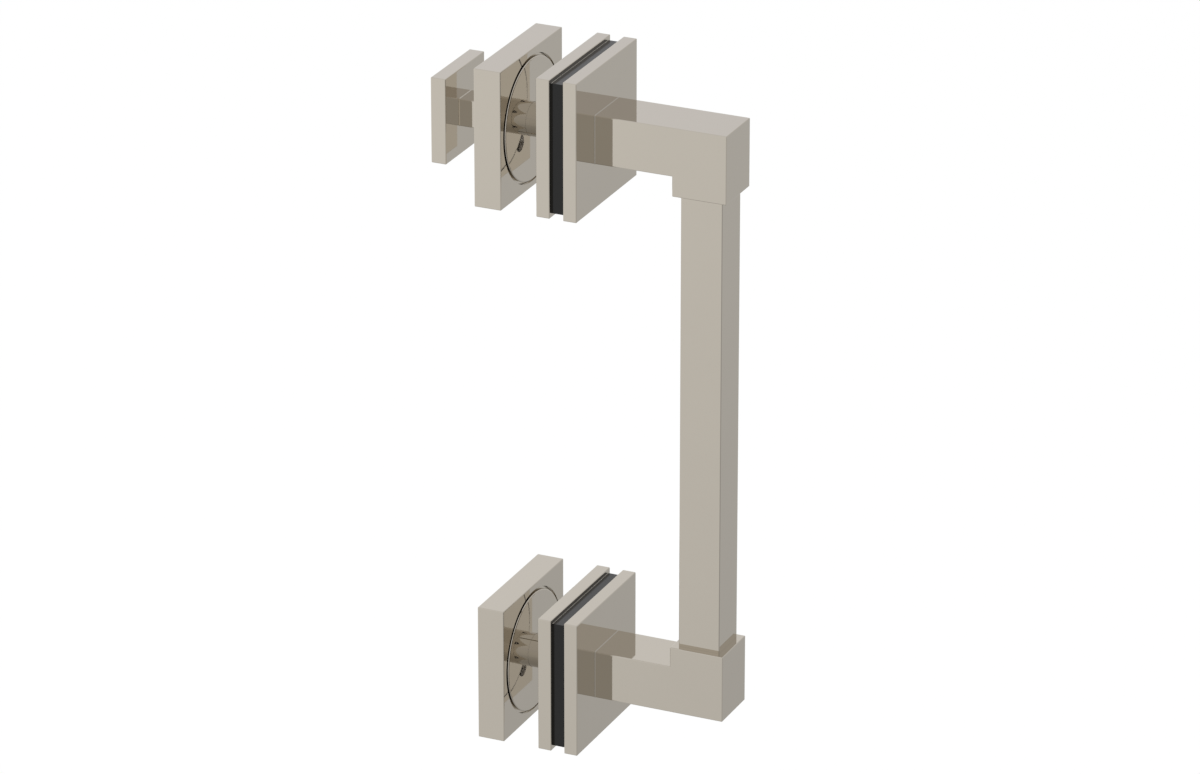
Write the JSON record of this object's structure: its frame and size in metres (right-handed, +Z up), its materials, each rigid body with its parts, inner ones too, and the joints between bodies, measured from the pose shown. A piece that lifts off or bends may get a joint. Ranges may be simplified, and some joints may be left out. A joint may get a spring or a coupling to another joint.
{
  "type": "shower door handle",
  "caption": "Square pull bar on elbow posts with square clamp plates, black gaskets and concealed covers for a glass shower door, with a square robe hook on the inside.",
  "frame": {"origin": "midway between the two fixing rods, on the faces of the clamp discs that lie on the glass", "axes": "+Z up along the pull bar, +X out of the shower from the glass towards the pull bar, +Y across the door"},
  "size_m": [0.1092, 0.0508, 0.254],
  "materials": {
    "polished_nickel": "mirror-polished nickel plate",
    "gasket": "smooth semi-gloss black",
    "fixings": "plain stainless steel"
  },
  "bodies": {
    "root": {"hook_end_plate": "polished_nickel", "hook_end_stud": "fixings", "hook_screw": "fixings", "hook_stem": "polished_nickel", "lower_bar_stud": "fixings", "lower_clamp_disc": "polished_nickel", "lower_clamp_plate": "polished_nickel", "lower_cover_plate": "polished_nickel", "lower_disc_screw": "fixings", "lower_elbow_post": "polished_nickel", "lower_fixing_rod": "polished_nickel", "lower_gasket": "gasket", "lower_grub_screw": "fixings", "lower_mounting_disc": "polished_nickel", "lower_outer_plate": "polished_nickel", "lower_plate_screws": "fixings", "pull_bar": "polished_nickel", "upper_bar_stud": "fixings", "upper_clamp_disc": "polished_nickel", "upper_clamp_plate": "polished_nickel", "upper_cover_plate": "polished_nickel", "upper_disc_screw": "fixings", "upper_elbow_post": "polished_nickel", "upper_fixing_rod": "polished_nickel", "upper_gasket": "gasket", "upper_grub_screw": "fixings", "upper_mounting_disc": "polished_nickel", "upper_outer_plate": "polished_nickel", "upper_plate_screws": "fixings"}
  },
  "joints": []
}
